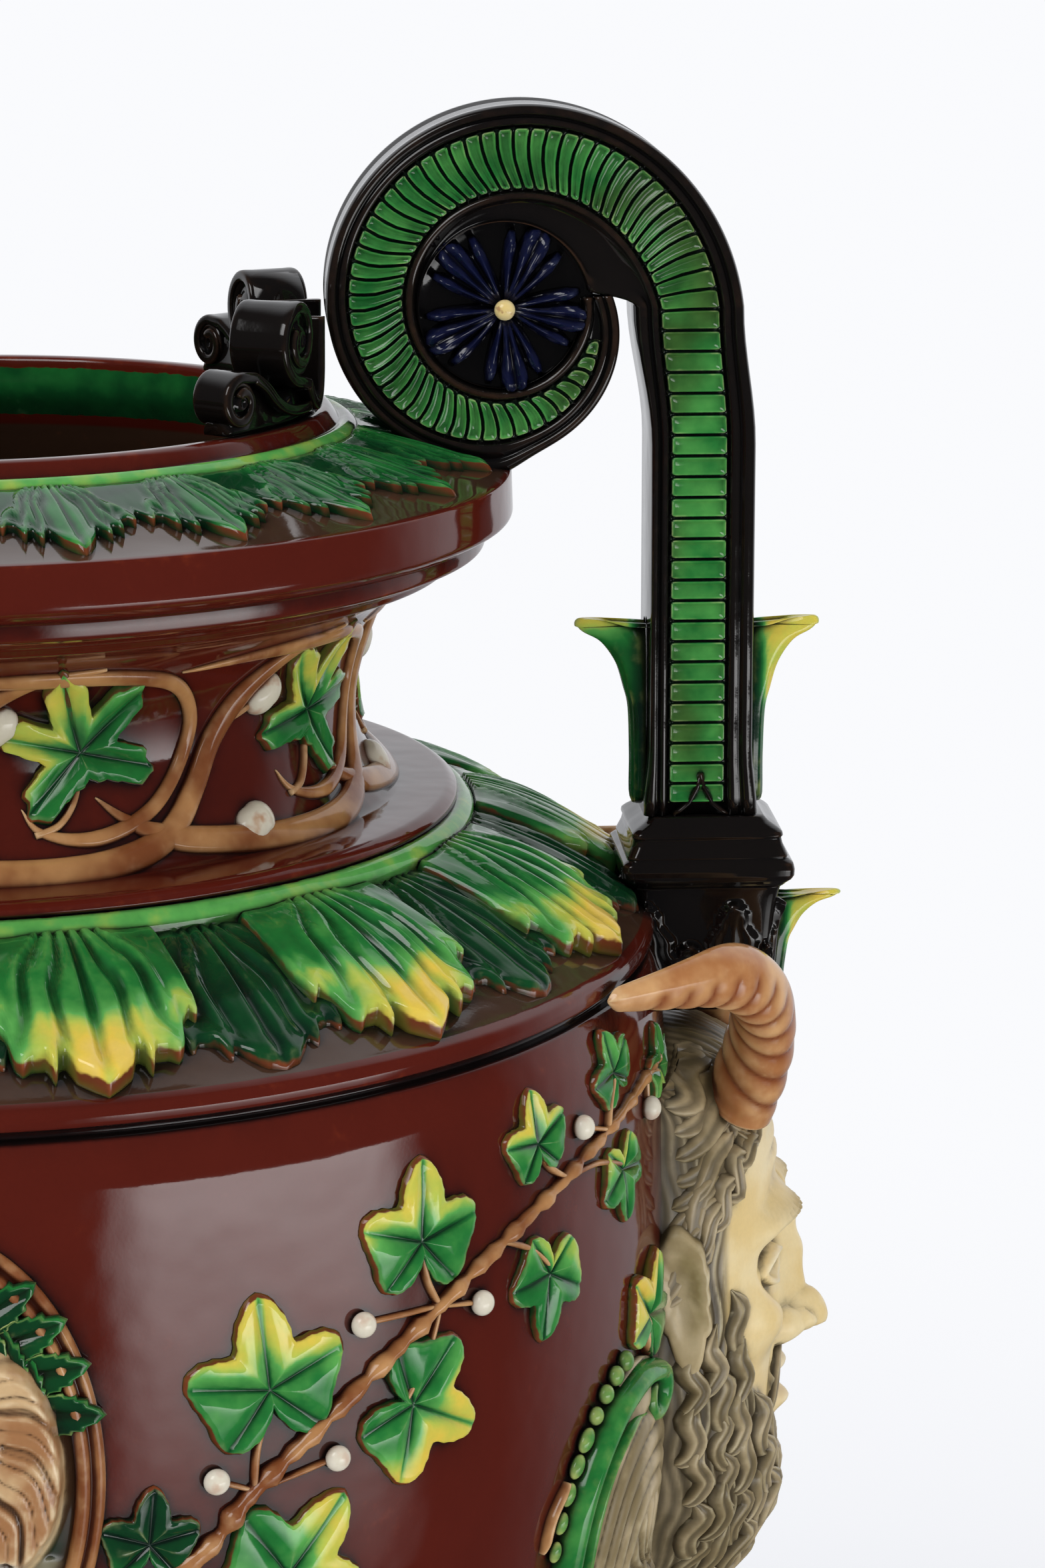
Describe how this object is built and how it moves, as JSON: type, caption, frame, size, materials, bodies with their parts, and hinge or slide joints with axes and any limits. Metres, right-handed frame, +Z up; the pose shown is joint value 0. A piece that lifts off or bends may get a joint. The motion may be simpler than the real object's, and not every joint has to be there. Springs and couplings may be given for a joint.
{
  "type": "two-handled vase",
  "caption": "Tall glazed earthenware amphora on a turned foot, with ribbed volute handles on satyr masks, leaf bands, ivy relief and oval medallions.",
  "frame": {"origin": "centre of the plinth's underside, where the vase stands", "axes": "+Z up the vase's axis, +X towards one handle and its mask, -Y towards the front medallion"},
  "size_m": [0.5344, 0.4504, 0.751],
  "materials": {
    "red_brown_glaze": "glossy fired glaze, dark red-brown with orange-brown where it is thin",
    "black_glaze": "glossy near-black glaze, brown on the edges",
    "green_glaze": "glossy translucent green glaze, lighter and yellower on raised edges",
    "blue_glaze": "glossy blue-black glaze",
    "tan_glaze": "glossy tan glaze over modelled stems and horns",
    "buff_glaze": "glossy cream glaze with olive-grey hair and beard",
    "ivory_glaze": "glossy ivory glaze",
    "zinc_steel": "zinc-plated steel",
    "cork": "pressed cork"
  },
  "bodies": {
    "root": {"body_shell": "red_brown_glaze", "calyx_leaves": "green_glaze", "capital_left": "black_glaze", "capital_right": "black_glaze", "capital_spur_left": "green_glaze", "capital_spur_right": "green_glaze", "cartouche_back_left": "green_glaze", "cartouche_back_right": "green_glaze", "cartouche_front_left": "green_glaze", "cartouche_front_right": "green_glaze", "column_base_left": "black_glaze", "column_base_right": "black_glaze", "cork_washer_bottom": "cork", "cork_washer_top": "cork", "foot_gasket": "cork", "handle_left": "black_glaze", "handle_right": "black_glaze", "horn_back_left": "tan_glaze", "horn_back_right": "tan_glaze", "horn_front_left": "tan_glaze", "horn_front_right": "tan_glaze", "inner_spur_left": "green_glaze", "inner_spur_right": "green_glaze", "ivy_back_left": "green_glaze", "ivy_back_right": "green_glaze", "ivy_front_left": "green_glaze", "ivy_front_right": "green_glaze", "ladder_back_left": "green_glaze", "ladder_back_right": "green_glaze", "ladder_front_left": "green_glaze", "ladder_front_right": "green_glaze", "mask_left": "buff_glaze", "mask_right": "buff_glaze", "medallion_bust_back": "ivory_glaze", "medallion_bust_front": "ivory_glaze", "medallion_frame_back": "tan_glaze", "medallion_frame_front": "tan_glaze", "neck_vine": "tan_glaze", "outer_spur_left": "green_glaze", "outer_spur_right": "green_glaze", "plinth": "red_brown_glaze", "rim_and_neck": "red_brown_glaze", "rim_leaves": "green_glaze", "rim_scroll_back_left": "black_glaze", "rim_scroll_back_right": "black_glaze", "rim_scroll_front_left": "black_glaze", "rim_scroll_front_right": "black_glaze", "rod_nut_bottom": "zinc_steel", "rod_nut_top": "zinc_steel", "rosette_back_left": "blue_glaze", "rosette_back_right": "blue_glaze", "rosette_front_left": "blue_glaze", "rosette_front_right": "blue_glaze", "shoulder_leaves": "green_glaze", "socle": "red_brown_glaze", "steel_washer_bottom": "zinc_steel", "steel_washer_top": "zinc_steel", "tie_rod": "zinc_steel"}
  },
  "joints": []
}
